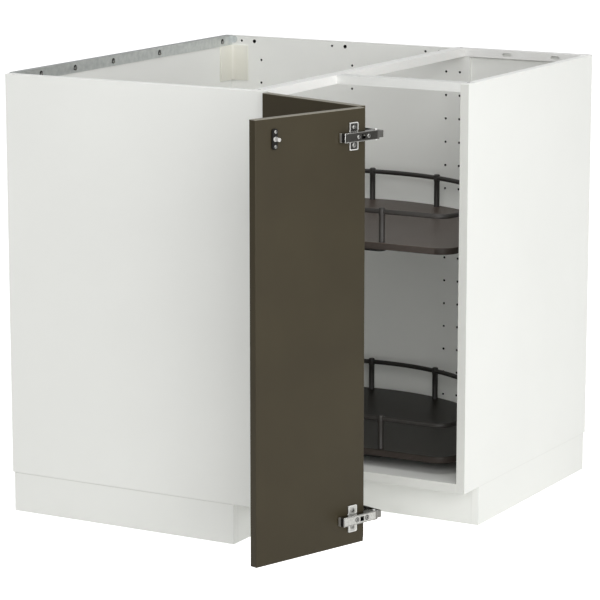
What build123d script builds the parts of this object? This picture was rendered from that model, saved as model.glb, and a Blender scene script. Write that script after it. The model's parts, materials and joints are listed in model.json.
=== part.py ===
# Corner base cabinet with a two-door folding front and two turning trays.
# The origin is on the floor under the pole that carries the trays.
# The room is towards +X and -Y, and the two walls are at -X and +Y.

import os
from math import atan2, cos, degrees, radians, sin, sqrt

from build123d import *

os.makedirs("parts", exist_ok=True)

# Carcass
wall_length = 866.0
wing_depth = 582.0
carcass_height = 800.0
leg_height = 80.0
panel_thickness = 18.0
left_back_thickness = 12.0
infill_thickness = 6.0
infill_setback = 6.0
back_panel_past_front = 12.0

wall = wall_length / 2
front = wing_depth - wall
inner = wall - panel_thickness
left_inner = -wall + left_back_thickness
infill_edge = front + back_panel_past_front
infill_face = inner + infill_setback
carcass_bottom = leg_height
floor_top = carcass_bottom + panel_thickness
carcass_top = carcass_bottom + carcass_height

# Shelf-pin holes, one row every 50 mm
pin_hole_radius = 2.5
pin_hole_depth = 11.0
pin_hole_pitch = 50.0
pin_hole_columns = [87.0, 313.0, 539.0, 571.0]

# Holes for rail fittings near the top of the back panel, one pair to each of the first columns
fitting_hole_radius = 4.0
fitting_hole_back = 17.5
fitting_pin_back = 49.5
fitting_hole_drop = 10.0
fitting_columns = 3

# Rails that tie the open top
rail_steel = 1.5
rail_drop = 16.0
cross_rail_width = 27.0
front_rail_width = 27.0
wall_rail_steel = 1.5
wall_rail_overhang = 2.0
wall_rail_drop = 20.0
wall_rail_slots = [246.0, 458.0, 670.0]
wall_rail_bolts = [105.0, 226.0, 367.0, 546.0, 805.0]
wall_rail_tab = 14.0
wall_rail_tab_drop = 15.0
wall_rail_tab_round = 7.0
slot_width = 6.5
slot_length = 20.0
back_rail_slots = [680.0, 790.0]
rail_screw_radius = 3.5
rail_screw_play = 0.15
rail_screw_inset = 8.0

# Corner bracket inside the wall corner
bracket_left_leg = 52.0
bracket_back_leg = 42.0
bracket_thickness = 3.0
bracket_round = 6.0
bracket_edge_round = 1.0
bracket_height = 77.0

# Legs
leg_flange_radius = 34.0
leg_flange_thickness = 4.0
leg_tube_radius = 19.0
leg_bore_radius = 12.3
leg_bottom = 16.0
foot_radius = 27.0
foot_thickness = 10.0
foot_stem_radius = 12.0
foot_stem_top = 48.0
leg_to_plinth = 40.0
leg_to_wall = 60.0

# Plinth boards
plinth_thickness = 16.0
plinth_inset = 2.5
plinth_setback = 70.0
plinth_top_gap = 1.0
clip_height = 14.0
clip_bottom = 34.0
clip_wall = 3.0
clip_play = 0.2
clip_plate_width = 34.0
clip_neck = 12.0

# Pole and its seats
pole_radius = 15.0
pole_above_tray = 53.0
pole_flange_radius = 52.0
pole_flange_thickness = 4.0
pole_boss_radius = 24.0
collar_height = 16.0
cap_height = 9.0
cap_radius = 18.0
cap_round = 4.0
flange_screw_circle = 39.0
flange_screw_radius = 5.0
flange_screw_height = 2.2

# Turning trays
tray_wall_clearance = 33.0
tray_front_gap = 44.0
tray_thickness = 13.0
tray_corner_radius = 40.0
tray_inner_radius = 30.0
tray_top = {"upper": 551.0, "lower": 134.0}
rail_inset = 12.5
rail_radius = 4.8
rail_height = 60.7
post_radius = 6.0
post_above_rail = 3.0
post_play = 0.25
post_bore_reach = 7.2
post_spacing = 25.5
posts_on_arc = 12
front_post_shift = 15.9
spider_thickness = 8.0
spider_setback = 19.0
spider_reach = 217.0
spider_corner = 12.0
hub_radius = 22.0
hub_height = 30.0
running_fit = 0.08
seat_gap = 0.3

pole_top = tray_top["upper"] + pole_above_tray
tray_radius = inner - tray_wall_clearance
tray_edge = front - tray_front_gap

# Doors, drawn shut and then turned open about the hinge axis
door_thickness = 16.0
door_corner_gap = 4.0
door_gap = 2.0
door_reveal = 2.0
door_end_reveal = 1.5
door_open_angle = 108.5
door_pivot_forward = 6.0
door_edge_round = 1.0

door_back = front + door_gap
door_face = door_back + door_thickness
door_start = -wall + door_reveal
door_end = -door_face - door_corner_gap
door_bottom = carcass_bottom + door_end_reveal
door_height = carcass_height - 2 * door_end_reveal
pivot = (front + door_pivot_forward, -wall)

# Concealed hinges
hinge_from_end = 50.0
cup_radius = 17.5
cup_depth = 11.5
cup_play = 0.1
cup_edge_distance = 22.0
cup_flange_width = 21.0
cup_flange_height = 60.0
cup_flange_thickness = 0.9
cup_well_width = 15.0
cup_well_height = 28.0
cup_well_corner = 1.5
plate_height = 50.0
plate_width = 21.0
plate_thickness = 2.0
plate_round = 2.0
plate_block_rise = 6.0
plate_block_tail = 20.0
plate_block_nose = 30.0
plate_screw_offset = 16.0
plate_screw_radius = 4.2
plate_screw_height = 2.4
plate_from_edge = 37.0
arm_height = 17.0
arm_rise = 13.0
arm_wall = 1.5
arm_play = 0.3
fold_arm_length = 84.0
fold_plate_from_edge = 29.5
door_arm_length = 66.0
door_arm_setback = 2.0
adjuster_radius = 3.6
adjuster_places = [0.0, 24.5]
arm_window_place = 12.5
arm_window_size = 9.0
clip_slot_place = 5.0
clip_slot_width = 3.0
fold_link_height = 13.0
fold_link_thickness = 3.0
fold_link_reach = 13.0
fold_link_tip_gap = 2.3

# Catch near the free edge of the second door
catch_from_edge = 43.0
catch_from_top = 38.0
catch_base_width = 12.0
catch_base_height = 36.0
catch_base_rise = 4.0
catch_peg_radius = 3.5
catch_peg_reach = 16.0
catch_screw_offset = 13.0
catch_screw_radius = 3.2
catch_screw_height = 1.8


def between(x0, x1, y0, y1):
    """Draws the rectangle that spans the two corners."""
    with Locations(((x0 + x1) / 2, (y0 + y1) / 2)):
        Rectangle(x1 - x0, y1 - y0)


# Inner face of the back panel, seen from the room
back_face = Plane(origin=(0, inner, 0), x_dir=(1, 0, 0), z_dir=(0, -1, 0))

# Turns a plane drawn with the doors shut to where it lies with them open
swing = Location((*pivot, 0), (0, 0, -door_open_angle))
to_open = swing * Location((-pivot[0], -pivot[1], 0))


def opened(plane):
    """The same plane on the open doors."""
    return Plane(to_open * plane.location)


# End panels
with BuildPart() as left_end_panel:
    with BuildSketch(Plane.XY.offset(carcass_bottom)):
        between(-wall, front, -wall, -inner)
    extrude(amount=carcass_height)
left_end_panel.part.label = "left_end_panel"
export_step(left_end_panel.part, "parts/left_end_panel.step")

with BuildPart() as right_end_panel:
    with BuildSketch(Plane.XY.offset(carcass_bottom)):
        between(inner, wall, -front, wall)
    extrude(amount=carcass_height)
right_end_panel.part.label = "right_end_panel"
export_step(right_end_panel.part, "parts/right_end_panel.step")

# Back panel with its columns of shelf-pin holes
with BuildPart() as back_panel:
    with BuildSketch(Plane.XY.offset(carcass_bottom)):
        between(-wall, infill_edge, inner, wall)
    extrude(amount=carcass_height)
    hole_rows = int(carcass_height / pin_hole_pitch) - 1
    hole_places = [
        (column - wall, carcass_bottom + pin_hole_pitch * (row + 1))
        for column in pin_hole_columns
        for row in range(hole_rows)
    ]
    fitting_z = carcass_top - fitting_hole_drop
    with BuildSketch(back_face):
        with Locations(*hole_places):
            Circle(pin_hole_radius)
        for column in pin_hole_columns[:fitting_columns]:
            with Locations((column - wall - fitting_hole_back, fitting_z)):
                Circle(fitting_hole_radius)
            with Locations((column - wall - fitting_pin_back, fitting_z)):
                Circle(pin_hole_radius)
    extrude(amount=-pin_hole_depth, mode=Mode.SUBTRACT)
back_panel.part.label = "back_panel"
export_step(back_panel.part, "parts/back_panel.step")

with BuildPart() as back_infill_panel:
    with BuildSketch(Plane.XY.offset(carcass_bottom)):
        between(infill_edge, inner, infill_face, infill_face + infill_thickness)
    extrude(amount=carcass_height)
back_infill_panel.part.label = "back_infill_panel"
export_step(back_infill_panel.part, "parts/back_infill_panel.step")

with BuildPart() as left_back_panel:
    with BuildSketch(Plane.XY.offset(carcass_bottom)):
        between(-wall, left_inner, -inner, inner)
    extrude(amount=carcass_height)
left_back_panel.part.label = "left_back_panel"
export_step(left_back_panel.part, "parts/left_back_panel.step")

# Bottom panel, an L that follows both wings
with BuildPart() as bottom_panel:
    with BuildSketch(Plane.XY.offset(carcass_bottom)):
        with BuildLine():
            Polyline(
                (left_inner, -inner),
                (front, -inner),
                (front, -front),
                (inner, -front),
                (inner, infill_face),
                (infill_edge, infill_face),
                (infill_edge, inner),
                (left_inner, inner),
                close=True,
            )
        make_face()
    extrude(amount=panel_thickness)
bottom_panel.part.label = "bottom_panel"
export_step(bottom_panel.part, "parts/bottom_panel.step")

# Bracket in the wall corner, moulded round at its bend and at its two ends
bend = (left_inner + bracket_thickness, inner - bracket_thickness)
left_end = (left_inner + bracket_thickness, inner - bracket_left_leg)
back_end = (left_inner + bracket_back_leg, inner - bracket_thickness)
bracket_bottom = carcass_top - wall_rail_drop - bracket_height
with BuildPart() as corner_bracket:
    with BuildSketch(Plane.XY.offset(bracket_bottom)) as corner_bracket_outline:
        between(left_inner, left_inner + bracket_thickness, inner - bracket_left_leg, inner)
        between(left_inner, left_inner + bracket_back_leg, inner - bracket_thickness, inner)
        fillet(corner_bracket_outline.vertices().sort_by_distance(bend)[0], bracket_round)
        fillet(corner_bracket_outline.vertices().sort_by_distance(left_end)[0], bracket_edge_round)
        fillet(corner_bracket_outline.vertices().sort_by_distance(back_end)[0], bracket_edge_round)
    extrude(amount=bracket_height)
corner_bracket.part.label = "corner_bracket"
export_step(corner_bracket.part, "parts/corner_bracket.step")

# Zinc-plated rail along the left wall, folded over the left back panel, with a tab in the corner
with BuildPart() as wall_rail:
    flange_face = left_inner + wall_rail_steel
    with BuildSketch(Plane.XZ.offset(-inner)):
        between(-wall - wall_rail_overhang, flange_face, carcass_top, carcass_top + wall_rail_steel)
        between(left_inner, flange_face, carcass_top - wall_rail_drop, carcass_top)
    extrude(amount=2 * inner)
    with BuildSketch(back_face) as tab_outline:
        between(left_inner, left_inner + wall_rail_tab, carcass_top - wall_rail_tab_drop, carcass_top)
        fillet(tab_outline.vertices().group_by(Axis.X)[-1], wall_rail_tab_round)
    extrude(amount=wall_rail_steel)
    with BuildSketch(Plane.XY.offset(carcass_top)):
        for place in wall_rail_slots:
            with Locations((-wall + left_back_thickness / 2, -wall + place)):
                SlotOverall(slot_length, slot_width, rotation=90)
    extrude(amount=wall_rail_steel, mode=Mode.SUBTRACT)
    with BuildSketch(Plane.YZ.offset(left_inner)):
        for place in wall_rail_bolts:
            with Locations((-wall + place, carcass_top - wall_rail_drop / 2)):
                Circle(slot_width / 2)
    extrude(amount=wall_rail_steel, mode=Mode.SUBTRACT)
wall_rail.part.label = "wall_rail"
export_step(wall_rail.part, "parts/wall_rail.step")

# White steel rails across the open top, with seats for the screws that hold them down
cross_screws = [
    (front - cross_rail_width / 2, -wall + rail_screw_inset),
    (front - cross_rail_width / 2, wall - rail_screw_inset),
]
front_screw = (wall - rail_screw_inset, -front + front_rail_width / 2)
back_screw = (wall - rail_screw_inset, wall - rail_screw_inset)
screw_seat_radius = rail_screw_radius + rail_screw_play

with BuildPart() as cross_rail:
    with BuildSketch(Plane.XY.offset(carcass_top)):
        between(front - cross_rail_width, front, -wall, wall)
        with Locations(*cross_screws):
            Circle(screw_seat_radius, mode=Mode.SUBTRACT)
    extrude(amount=rail_steel)
    with BuildSketch(Plane.XY.offset(carcass_top - rail_drop)):
        between(front - rail_steel, front, -inner, inner)
    extrude(amount=rail_drop)
cross_rail.part.label = "cross_rail"
export_step(cross_rail.part, "parts/cross_rail.step")

with BuildPart() as front_rail:
    with BuildSketch(Plane.XY.offset(carcass_top)):
        between(front, wall, -front, -front + front_rail_width)
        with Locations(front_screw):
            Circle(screw_seat_radius, mode=Mode.SUBTRACT)
    extrude(amount=rail_steel)
    with BuildSketch(Plane.XY.offset(carcass_top - rail_drop)):
        between(front, inner, -front, -front + rail_steel)
    extrude(amount=rail_drop)
front_rail.part.label = "front_rail"
export_step(front_rail.part, "parts/front_rail.step")

with BuildPart() as back_rail:
    with BuildSketch(Plane.XY.offset(carcass_top)):
        between(front, wall, inner - rail_steel, wall)
        with Locations(back_screw):
            Circle(screw_seat_radius, mode=Mode.SUBTRACT)
    extrude(amount=rail_steel)
    with BuildSketch(Plane.XY.offset(carcass_top - rail_drop)):
        between(front, inner, inner - rail_steel, inner)
    extrude(amount=rail_drop)
    with BuildSketch(back_face):
        for place in back_rail_slots:
            with Locations((place - wall, carcass_top - rail_drop / 2)):
                SlotOverall(slot_length, slot_width)
    extrude(amount=rail_steel, mode=Mode.SUBTRACT)
back_rail.part.label = "back_rail"
export_step(back_rail.part, "parts/back_rail.step")

with BuildPart() as rail_screws:
    with BuildSketch(Plane.XY.offset(carcass_top)):
        with Locations(*cross_screws, front_screw, back_screw):
            Circle(rail_screw_radius)
    extrude(amount=rail_steel)
rail_screws.part.label = "rail_screws"
export_step(rail_screws.part, "parts/rail_screws.step")

# Legs with their levelling feet
plinth_x = front - plinth_setback
plinth_y = -plinth_x
side_plinth = wall - plinth_inset
leg_row = side_plinth - plinth_thickness - leg_to_plinth
leg_places = {
    "centre": (0.0, 0.0),
    "left_front": (plinth_x - plinth_thickness - leg_to_plinth, -leg_row),
    "left_back": (-wall + leg_to_wall, -leg_row),
    "wall_corner": (-wall + leg_to_wall, wall - leg_to_wall),
    "right_back": (leg_row, wall - leg_to_wall),
    "right_front": (leg_row, plinth_y + plinth_thickness + leg_to_plinth),
}
for spot, (leg_x, leg_y) in leg_places.items():
    with BuildPart() as leg_body:
        with BuildSketch(Plane.XY.offset(leg_bottom)):
            with Locations((leg_x, leg_y)):
                Circle(leg_tube_radius)
        extrude(amount=leg_height - leg_bottom)
        with BuildSketch(Plane.XY.offset(leg_height - leg_flange_thickness)):
            with Locations((leg_x, leg_y)):
                Circle(leg_flange_radius)
        extrude(amount=leg_flange_thickness)
        with BuildSketch(Plane.XY.offset(leg_bottom)):
            with Locations((leg_x, leg_y)):
                Circle(leg_bore_radius)
        extrude(amount=foot_stem_top - leg_bottom + seat_gap, mode=Mode.SUBTRACT)
    leg_body.part.label = f"leg_body_{spot}"
    export_step(leg_body.part, f"parts/leg_body_{spot}.step")

    with BuildPart() as leg_foot:
        with BuildSketch(Plane.XY):
            with Locations((leg_x, leg_y)):
                Circle(foot_radius)
        extrude(amount=foot_thickness)
        with BuildSketch(Plane.XY.offset(foot_thickness)):
            with Locations((leg_x, leg_y)):
                Circle(foot_stem_radius)
        extrude(amount=foot_stem_top - foot_thickness)
    leg_foot.part.label = f"leg_foot_{spot}"
    export_step(leg_foot.part, f"parts/leg_foot_{spot}.step")

# Plinth boards under the two outer sides and the two fronts
side_plinth_back = side_plinth - plinth_thickness
plinth_y_back = plinth_y + plinth_thickness
plinth_boards = {
    "left_side": (-side_plinth, plinth_x, -side_plinth, -side_plinth_back),
    "left_front": (plinth_x - plinth_thickness, plinth_x, -side_plinth_back, plinth_y_back),
    "right_front": (plinth_x, side_plinth_back, plinth_y, plinth_y_back),
    "right_side": (side_plinth_back, side_plinth, plinth_y, side_plinth),
}
for side, edges in plinth_boards.items():
    with BuildPart() as plinth:
        with BuildSketch(Plane.XY):
            between(*edges)
        extrude(amount=leg_height - plinth_top_gap)
    plinth.part.label = f"plinth_{side}"
    export_step(plinth.part, f"parts/plinth_{side}.step")

# Clips that snap round a leg and hold a plinth board
clip_turns = {"left_front": 0.0, "left_back": -90.0, "right_back": 0.0, "right_front": -90.0}
clip_ring = leg_tube_radius + clip_play
with BuildPart() as plinth_clips:
    for spot, turn in clip_turns.items():
        clip_plane = Plane(Location((*leg_places[spot], clip_bottom), (0, 0, turn)))
        with BuildSketch(clip_plane):
            Circle(clip_ring + clip_wall)
            between(clip_ring, leg_to_plinth, -clip_neck / 2, clip_neck / 2)
            between(leg_to_plinth - clip_wall, leg_to_plinth, -clip_plate_width / 2, clip_plate_width / 2)
            Circle(clip_ring, mode=Mode.SUBTRACT)
            with Locations((-clip_ring, 0)):
                Rectangle(clip_ring, clip_ring, mode=Mode.SUBTRACT)
        extrude(amount=clip_height)
plinth_clips.part.label = "plinth_clips"
export_step(plinth_clips.part, "parts/plinth_clips.step")

# Pole on its floor flange
spider_bottom = {level: top - tray_thickness - spider_thickness for level, top in tray_top.items()}
boss_top = spider_bottom["lower"] - seat_gap
with BuildPart() as pole:
    with BuildSketch(Plane.XY.offset(floor_top + pole_flange_thickness)):
        Circle(pole_radius)
    extrude(amount=pole_top - floor_top - pole_flange_thickness)
    with BuildSketch(Plane.XY.offset(pole_top)):
        Circle(cap_radius)
    extrude(amount=cap_height)
    fillet(pole.faces().sort_by(Axis.Z)[-1].edges(), cap_round)
pole.part.label = "pole"
export_step(pole.part, "parts/pole.step")

with BuildPart() as pole_flange:
    with BuildSketch(Plane.XY.offset(floor_top)):
        Circle(pole_flange_radius)
    extrude(amount=pole_flange_thickness)
    with BuildSketch(Plane.XY.offset(floor_top + pole_flange_thickness)):
        Circle(pole_boss_radius)
        Circle(pole_radius, mode=Mode.SUBTRACT)
    extrude(amount=boss_top - floor_top - pole_flange_thickness)
pole_flange.part.label = "pole_flange"
export_step(pole_flange.part, "parts/pole_flange.step")

with BuildPart() as pole_flange_screws:
    with BuildSketch(Plane.XY.offset(floor_top + pole_flange_thickness)):
        with PolarLocations(flange_screw_circle, 4, start_angle=45):
            Circle(flange_screw_radius)
    extrude(amount=flange_screw_height)
pole_flange_screws.part.label = "pole_flange_screws"
export_step(pole_flange_screws.part, "parts/pole_flange_screws.step")

with BuildPart() as upper_collar:
    with BuildSketch(Plane.XY.offset(spider_bottom["upper"] - seat_gap - collar_height)):
        Circle(pole_boss_radius)
        Circle(pole_radius, mode=Mode.SUBTRACT)
    extrude(amount=collar_height)
upper_collar.part.label = "upper_collar"
export_step(upper_collar.part, "parts/upper_collar.step")


def tray_outline(inset):
    """Draws the edge of a tray, or the line that runs inside it by the inset."""
    radius = tray_radius - inset
    corner = tray_corner_radius - inset
    edge = tray_edge - inset
    hollow = tray_inner_radius + inset
    hollow_centre = tray_edge + tray_inner_radius
    corner_y = corner - edge
    corner_x = sqrt((radius - corner) ** 2 - corner_y ** 2)
    start = degrees(atan2(corner_y, corner_x))
    CenterArc((0, 0), radius, start, 270 - 2 * start)
    CenterArc((-corner_y, -corner_x), corner, 270 - start, 90 + start)
    Line((edge, -corner_x), (edge, -hollow_centre))
    CenterArc((hollow_centre, -hollow_centre), hollow, 180, -90)
    Line((hollow_centre, -edge), (corner_x, -edge))
    CenterArc((corner_x, corner_y), corner, 270, 90 + start)


rail_line = tray_radius - rail_inset
rail_corner = tray_corner_radius - rail_inset
rail_straight_start = tray_edge + tray_inner_radius
rail_straight_end = sqrt((rail_line - rail_corner) ** 2 - (tray_corner_radius - tray_edge) ** 2)
front_post_place = (rail_straight_start + rail_straight_end) / 2 - front_post_shift
arc_angles = [135 + post_spacing * (number - (posts_on_arc - 1) / 2) for number in range(posts_on_arc)]
post_places = [(rail_line * cos(radians(a)), rail_line * sin(radians(a)), a + 90) for a in arc_angles]
post_places.append((front_post_place, rail_inset - tray_edge, 0))
post_places.append((tray_edge - rail_inset, -front_post_place, 90))

for level, top in tray_top.items():
    # Tray plate
    with BuildPart() as tray_plate:
        with BuildSketch(Plane.XY.offset(top - tray_thickness)):
            with BuildLine():
                tray_outline(0)
            make_face()
            Circle(hub_radius + seat_gap, mode=Mode.SUBTRACT)
        extrude(amount=tray_thickness)
    tray_plate.part.label = f"{level}_tray_plate"
    export_step(tray_plate.part, f"parts/{level}_tray_plate.step")

    # Moulded spider under the plate, in one piece with its hub
    with BuildPart() as tray_spider:
        spider_half = tray_edge - spider_setback
        with BuildSketch(Plane.XY.offset(spider_bottom[level])):
            RectangleRounded(2 * spider_reach, 2 * spider_half, spider_corner)
            RectangleRounded(2 * spider_half, 2 * spider_reach, spider_corner)
        extrude(amount=spider_thickness)
        with BuildSketch(Plane.XY.offset(spider_bottom[level])):
            Circle(hub_radius)
        extrude(amount=spider_thickness + tray_thickness + hub_height)
        with BuildSketch(Plane.XY.offset(spider_bottom[level])):
            Circle(pole_radius + running_fit)
        extrude(amount=spider_thickness + tray_thickness + hub_height, mode=Mode.SUBTRACT)
    tray_spider.part.label = f"{level}_tray_spider"
    export_step(tray_spider.part, f"parts/{level}_tray_spider.step")

    # Gallery rail, one tube bent round the whole edge
    with BuildPart() as tray_rail:
        with BuildLine(Plane.XY.offset(top + rail_height)) as rail_path:
            tray_outline(rail_inset)
        rail_start = rail_path.wires()[0]
        with BuildSketch(Plane(origin=rail_start @ 0, z_dir=rail_start % 0)):
            Circle(rail_radius)
        sweep(path=rail_start)
    tray_rail.part.label = f"{level}_tray_rail"
    export_step(tray_rail.part, f"parts/{level}_tray_rail.step")

    # Posts that carry the rail through a cross bore
    with BuildPart() as tray_posts:
        for post_x, post_y, along in post_places:
            with BuildSketch(Plane(Location((post_x, post_y, top)))):
                Circle(post_radius)
            extrude(amount=rail_height + rail_radius + post_above_rail)
        for post_x, post_y, along in post_places:
            bore_axis = (cos(radians(along)), sin(radians(along)), 0)
            with BuildSketch(Plane(origin=(post_x, post_y, top + rail_height), z_dir=bore_axis)):
                Circle(rail_radius + post_play)
            extrude(amount=post_bore_reach, both=True, mode=Mode.SUBTRACT)
    tray_posts.part.label = f"{level}_tray_posts"
    export_step(tray_posts.part, f"parts/{level}_tray_posts.step")


# Doors, with the cups of the hinges bored into the back of the first one
hinge_heights = {"upper": carcass_top - hinge_from_end, "lower": carcass_bottom + hinge_from_end}
door_cup_place = door_start + cup_edge_distance
fold_cup_place = door_end - cup_edge_distance
door_back_plane = Plane(origin=(door_back, 0, 0), x_dir=(0, 1, 0), z_dir=(1, 0, 0))

with BuildPart() as door_a_panel:
    with BuildSketch(opened(Plane.XY.offset(door_bottom))):
        between(door_back, door_face, door_start, door_end)
    extrude(amount=door_height)
    fillet(door_a_panel.edges().filter_by(Axis.Z), door_edge_round)
    with BuildSketch(opened(door_back_plane)):
        for height in hinge_heights.values():
            with Locations((door_cup_place, height), (fold_cup_place, height)):
                Circle(cup_radius + cup_play)
    extrude(amount=cup_depth, mode=Mode.SUBTRACT)
door_a_panel.part.label = "door_a_panel"
export_step(door_a_panel.part, "parts/door_a_panel.step")

with BuildPart() as door_b_panel:
    with BuildSketch(opened(Plane.XY.offset(door_bottom))):
        between(-door_end, -door_start, -door_face, -door_back)
    extrude(amount=door_height)
    fillet(door_b_panel.edges().filter_by(Axis.Z), door_edge_round)
door_b_panel.part.label = "door_b_panel"
export_step(door_b_panel.part, "parts/door_b_panel.step")


def make_hinge_plate(seat):
    """Mounting plate centred on the seat, whose first axis runs towards the knuckle."""
    with BuildPart() as hinge_plate:
        with BuildSketch(seat):
            RectangleRounded(plate_width, plate_height, plate_round)
        extrude(amount=plate_thickness)
        with BuildSketch(seat.offset(plate_thickness)):
            half = arm_height / 2 - arm_wall - arm_play
            between(-plate_block_tail, plate_block_nose, -half, half)
        extrude(amount=plate_block_rise)
    return hinge_plate.part


def make_hinge_arm(seat, tail, nose):
    """Channel that covers the plate's block, from its tail to its nose."""
    inside = arm_height / 2 - arm_wall
    arm_seat = seat.offset(plate_thickness)
    arm_top = arm_seat.offset(arm_rise)
    with BuildPart() as hinge_arm:
        with BuildSketch(arm_seat):
            between(-tail, nose, -arm_height / 2, arm_height / 2)
        extrude(amount=arm_rise)
        with BuildSketch(arm_seat):
            between(arm_wall - tail, nose - arm_wall, -inside, inside)
        extrude(amount=arm_rise - arm_wall, mode=Mode.SUBTRACT)
        with BuildSketch(arm_top):
            for place in adjuster_places:
                with Locations((place, 0)):
                    Circle(adjuster_radius + arm_play)
            with Locations((arm_window_place, 0)):
                Rectangle(arm_window_size, arm_window_size)
            with Locations((clip_slot_place - tail, 0)):
                Rectangle(clip_slot_width, 2 * inside)
        extrude(amount=-arm_wall, mode=Mode.SUBTRACT)
    return hinge_arm.part


fold_seats = {}
for level, height in hinge_heights.items():
    # Cup of the hinge that hangs the first door
    with BuildPart() as door_hinge_cup:
        with BuildSketch(opened(door_back_plane)):
            with Locations((door_cup_place, height)):
                Circle(cup_radius)
        extrude(amount=cup_depth)
        with BuildSketch(opened(door_back_plane)):
            with Locations((door_cup_place, height)):
                RectangleRounded(cup_flange_width, cup_flange_height, cup_flange_width / 3)
        extrude(amount=-cup_flange_thickness)
        with BuildSketch(opened(door_back_plane.offset(-cup_flange_thickness))):
            with Locations((door_cup_place, height)):
                RectangleRounded(cup_well_width, cup_well_height, cup_well_corner)
        extrude(amount=cup_depth, mode=Mode.SUBTRACT)
    door_hinge_cup.part.label = f"door_hinge_cup_{level}"
    export_step(door_hinge_cup.part, f"parts/door_hinge_cup_{level}.step")

    # Plate and arm of the same hinge, on the left end panel
    door_seat = Plane(origin=(front - plate_from_edge, -inner, height), x_dir=(1, 0, 0), z_dir=(0, 1, 0))
    door_hinge_plate = make_hinge_plate(door_seat)
    door_hinge_plate.label = f"door_hinge_plate_{level}"
    export_step(door_hinge_plate, f"parts/door_hinge_plate_{level}.step")
    door_arm_nose = plate_from_edge - door_arm_setback
    door_hinge_arm = make_hinge_arm(door_seat, door_arm_length - door_arm_nose, door_arm_nose)
    door_hinge_arm.label = f"door_hinge_arm_{level}"
    export_step(door_hinge_arm, f"parts/door_hinge_arm_{level}.step")

    # Cup of the fold hinge, with the link that reaches round the end of the door
    link_x = door_back - fold_link_reach
    link_y = fold_link_reach - door_back
    link_side = fold_link_thickness / 2
    with BuildPart() as fold_hinge_cup:
        with BuildSketch(opened(door_back_plane)):
            with Locations((fold_cup_place, height)):
                Circle(cup_radius)
        extrude(amount=cup_depth)
        with BuildSketch(opened(door_back_plane)):
            with Locations((fold_cup_place, height)):
                RectangleRounded(cup_flange_width, cup_flange_height, cup_flange_width / 3)
        extrude(amount=-cup_flange_thickness)
        with BuildSketch(opened(Plane.XY.offset(height - fold_link_height / 2))):
            between(link_x, door_back, fold_cup_place - link_side, fold_cup_place + link_side)
            between(link_x, link_x + fold_link_thickness, fold_cup_place - link_side, link_y)
            between(link_x, door_back - fold_link_tip_gap, link_y - fold_link_thickness, link_y)
        extrude(amount=fold_link_height)
    fold_hinge_cup.part.label = f"fold_hinge_cup_{level}"
    export_step(fold_hinge_cup.part, f"parts/fold_hinge_cup_{level}.step")

    # Plate and arm of the fold hinge, on the back of the second door
    fold_origin = (fold_plate_from_edge - door_end, -door_back, height)
    fold_seat = opened(Plane(origin=fold_origin, x_dir=(-1, 0, 0), z_dir=(0, 1, 0)))
    fold_seats[level] = fold_seat
    fold_hinge_plate = make_hinge_plate(fold_seat)
    fold_hinge_plate.label = f"fold_hinge_plate_{level}"
    export_step(fold_hinge_plate, f"parts/fold_hinge_plate_{level}.step")
    fold_arm_nose = fold_origin[0] - door_back + fold_link_tip_gap - seat_gap
    fold_hinge_arm = make_hinge_arm(fold_seat, fold_arm_length - fold_arm_nose, fold_arm_nose)
    fold_hinge_arm.label = f"fold_hinge_arm_{level}"
    export_step(fold_hinge_arm, f"parts/fold_hinge_arm_{level}.step")

# Adjusting screws that show through the arms of the fold hinges
with BuildPart() as fold_hinge_adjusters:
    for seat in fold_seats.values():
        with BuildSketch(seat.offset(plate_thickness + plate_block_rise)):
            for place in adjuster_places:
                with Locations((place, 0)):
                    Circle(adjuster_radius)
        extrude(amount=arm_rise - plate_block_rise)
fold_hinge_adjusters.part.label = "fold_hinge_adjusters"
export_step(fold_hinge_adjusters.part, "parts/fold_hinge_adjusters.step")

# Catch near the free edge of the second door
catch_height = carcass_top - catch_from_top
catch_origin = (-door_start - catch_from_edge, -door_back, catch_height)
catch_seat = opened(Plane(origin=catch_origin, x_dir=(-1, 0, 0), z_dir=(0, 1, 0)))
with BuildPart() as catch_base:
    with BuildSketch(catch_seat):
        RectangleRounded(catch_base_width, catch_base_height, catch_base_width / 3)
    extrude(amount=catch_base_rise)
catch_base.part.label = "catch_base"
export_step(catch_base.part, "parts/catch_base.step")

with BuildPart() as catch_peg:
    with BuildSketch(catch_seat.offset(catch_base_rise)):
        Circle(catch_peg_radius)
    extrude(amount=catch_peg_reach - catch_base_rise)
catch_peg.part.label = "catch_peg"
export_step(catch_peg.part, "parts/catch_peg.step")

# Pan-head screws of the fold hinge plates and of the catch
with BuildPart() as door_b_screws:
    for seat in fold_seats.values():
        with BuildSketch(seat.offset(plate_thickness)):
            with Locations((0, plate_screw_offset), (0, -plate_screw_offset)):
                Circle(plate_screw_radius)
        extrude(amount=plate_screw_height)
    with BuildSketch(catch_seat.offset(catch_base_rise)):
        with Locations((0, catch_screw_offset), (0, -catch_screw_offset)):
            Circle(catch_screw_radius)
    extrude(amount=catch_screw_height)
door_b_screws.part.label = "door_b_screws"
export_step(door_b_screws.part, "parts/door_b_screws.step")
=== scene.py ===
import json
from math import cos, pi, radians, sin

import bmesh
import bpy
from mathutils import Matrix, Vector


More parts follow.
